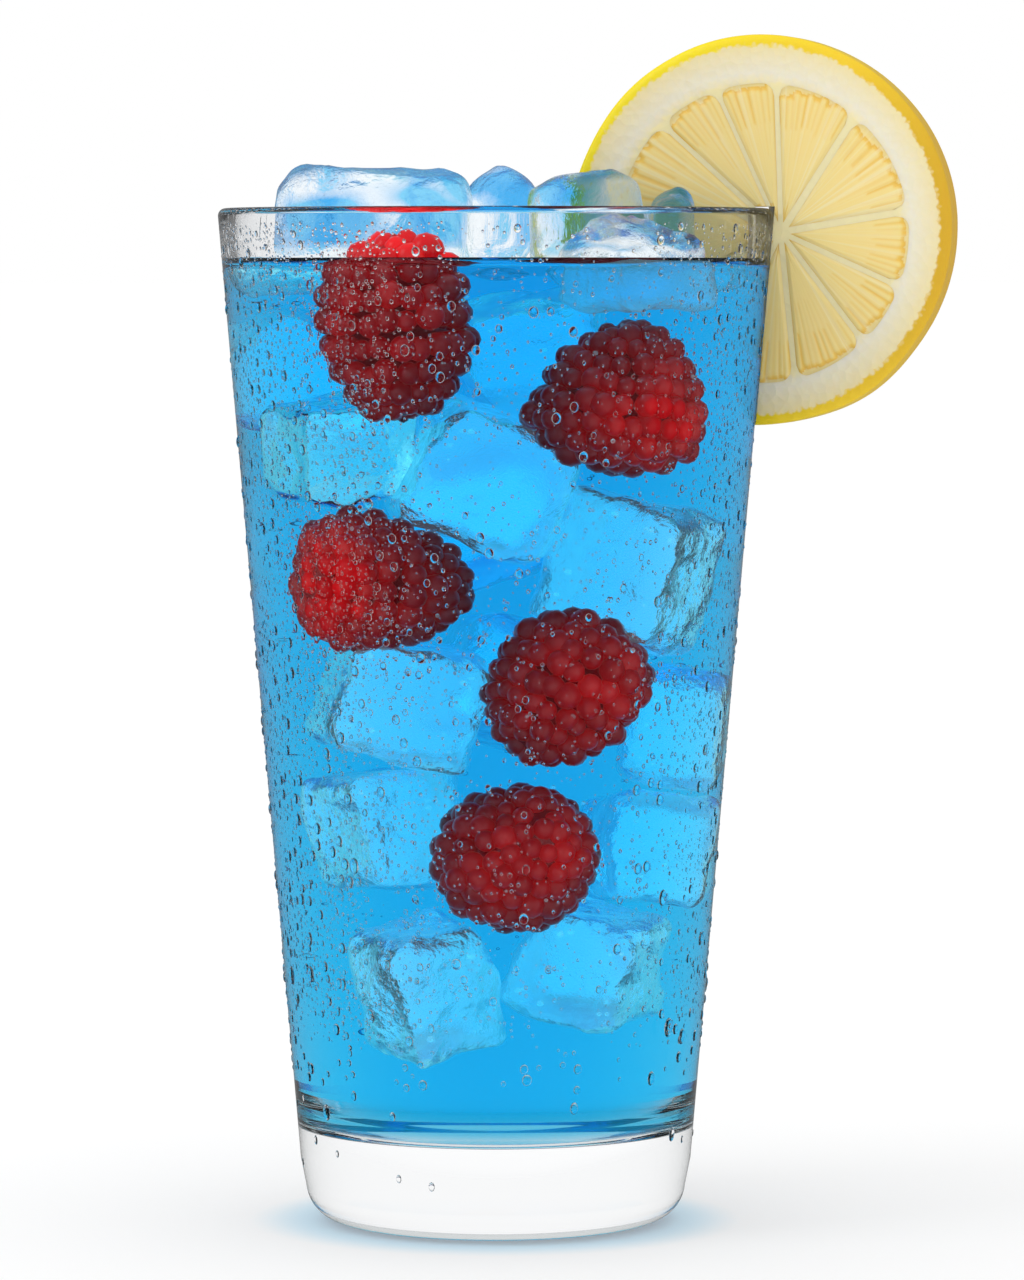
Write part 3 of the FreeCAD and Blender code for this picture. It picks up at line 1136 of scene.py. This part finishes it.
dew_kinds = [
    ("dew_fine", (0.030, 0.1575), 0.00085, 1.6e6, (0.00014, 0.00040), 1.2, 1, 3),
    ("dew_finest", (0.034, 0.1575), 0.00058, 2.0e6, (0.00010, 0.00026), 1.2, 1, 4),
    ("dew_middling", (0.024, 0.1570), 0.0017, 2.6e5, (0.0003, 0.0008), 1.2, 2, 5),
    ("dew_large", (0.009, 0.060), 0.0042, 3.5e4, (0.0004, 0.0011), 1.5, 2, 8),
]
for name, (low, high), spacing, per_area, sizes, tallness, fineness, seed in dew_kinds:
    dew(
        name,
        low,
        high,
        Spacing=spacing,
        Per_area=per_area,
        Smallest=sizes[0],
        Largest=sizes[1],
        Tallness=tallness,
        Fineness=fineness,
        Seed=seed,
    )


# The stage: a white floor under even studio light, with a soft key from the left so that the shadow
# falls to the right. The view is level with the top of the drink, from a little under a metre away.
def dimness(tree):
    """How bright reflections see the surroundings: dark through bare glass, light through the drink."""
    ray = tree.nodes.new("ShaderNodeLightPath")
    level = tree.nodes.new("ShaderNodeMapRange")
    tree.links.new(ray.outputs["Transmission Depth"], level.inputs["Value"])
    for socket, value in (("From Min", 3.0), ("From Max", 4.0), ("To Min", 0.25), ("To Max", 0.85)):
        level.inputs[socket].default_value = value
    return level.outputs["Result"]


def mirrored(tree):
    """1 for light that has come off a glossy surface on its way, so that only reflections see grey."""
    ray = tree.nodes.new("ShaderNodeLightPath")
    only = tree.nodes.new("ShaderNodeMath")
    only.operation = "MULTIPLY"
    only.use_clamp = True
    tree.links.new(ray.outputs["Glossy Depth"], only.inputs[0])
    only.inputs[1].default_value = 1.0
    return only.outputs[0]


white_floor = new_material("white_floor", Base_Color=(1, 1, 1, 1), Roughness=1.0, Specular_IOR_Level=0.0)
floor_tree = white_floor.node_tree
ground = add_node(white_floor, "ShaderNodeTexCoord")
from_foot = add_node(white_floor, "ShaderNodeVectorMath", i0=ground.outputs["Object"])
from_foot.operation = "LENGTH"
# Near the foot the floor's colour is painted pale blue: painted light, the glow of light come through
# the blue drink.
glow_share = add_node(
    white_floor, "ShaderNodeMapRange", Value=from_foot.outputs["Value"], From_Min=0.029, From_Max=0.040
)
glow_share.interpolation_type = "SMOOTHSTEP"
glow_stops = [(0.0, (0.55, 0.84, 1.0)), (1.0, (1.0, 1.0, 1.0))]
on_shader(white_floor, Base_Color=ramp(white_floor, glow_share.outputs["Result"], glow_stops))
floor_dim = add_node(
    white_floor, "ShaderNodeEmission", Color=(1, 1, 1, 1), Strength=dimness(floor_tree)
)
floor_lift = add_node(white_floor, "ShaderNodeEmission", Color=(1, 1, 1, 1), Strength=1.02)
lit_floor = floor_tree.nodes["Principled BSDF"].outputs["BSDF"]
floor_base = add_node(
    white_floor, "ShaderNodeMixShader", Fac=0.28, i1=lit_floor, i2=floor_lift.outputs["Emission"]
)
floor_mix = add_node(
    white_floor,
    "ShaderNodeMixShader",
    Fac=mirrored(floor_tree),
    i1=floor_base.outputs["Shader"],
    i2=floor_dim.outputs["Emission"],
)
floor_tree.links.new(
    floor_mix.outputs["Shader"], floor_tree.nodes["Material Output"].inputs["Surface"]
)
floor_half = 60.0
floor_drop = -0.0002
corners = [(x * floor_half, y * floor_half, floor_drop) for x, y in ((-1, -1), (1, -1), (1, 1), (-1, 1))]
floor_mesh = bpy.data.meshes.new("floor")
floor_mesh.from_pydata(corners, [], [(0, 1, 2, 3)])
floor_mesh.materials.append(white_floor)
floor = bpy.data.objects.new("floor", floor_mesh)
scene.collection.objects.link(floor)

studio = bpy.data.worlds.new("studio")
scene.world = studio
studio.use_nodes = True
sky = studio.node_tree
white_walls = sky.nodes["Background"]
white_walls.inputs["Color"].default_value = (1, 1, 1, 1)
white_walls.inputs["Strength"].default_value = 1.0
grey_walls = tree_node(sky, "ShaderNodeBackground", Color=(1, 1, 1, 1), Strength=dimness(sky))
walls = tree_node(
    sky,
    "ShaderNodeMixShader",
    Fac=mirrored(sky),
    i1=white_walls.outputs["Background"],
    i2=grey_walls.outputs["Background"],
)
sky.links.new(walls.outputs["Shader"], sky.nodes["World Output"].inputs["Surface"])


key_place = Vector((-0.75, -0.35, 0.75))
key_aim = Vector((0, 0, 0.08))
key_light = bpy.data.lights.new("key_left", "AREA")
key_light.shape = "RECTANGLE"
key_light.size = 0.45
key_light.size_y = 0.6
key_light.energy = 1.5
key_lamp = bpy.data.objects.new("key_left", key_light)
key_lamp.location = key_place
key_lamp.rotation_euler = (key_aim - key_place).to_track_quat("-Z", "Y").to_euler()
scene.collection.objects.link(key_lamp)

view_down_deg = 3.395
camera_data = bpy.data.cameras.new("camera")
camera_data.lens = 176.3
camera_data.sensor_width = 36
camera_data.clip_start = 0.05
camera = bpy.data.objects.new("camera", camera_data)
camera.location = (0.00259, -0.9896, 0.1506)
camera.rotation_euler = (math.radians(90 - view_down_deg), 0, 0)
scene.collection.objects.link(camera)
scene.camera = camera

scene.view_settings.view_transform = "Standard"
scene.cycles.max_bounces = 16
scene.cycles.transmission_bounces = 16
scene.cycles.glossy_bounces = 6
scene.cycles.diffuse_bounces = 2
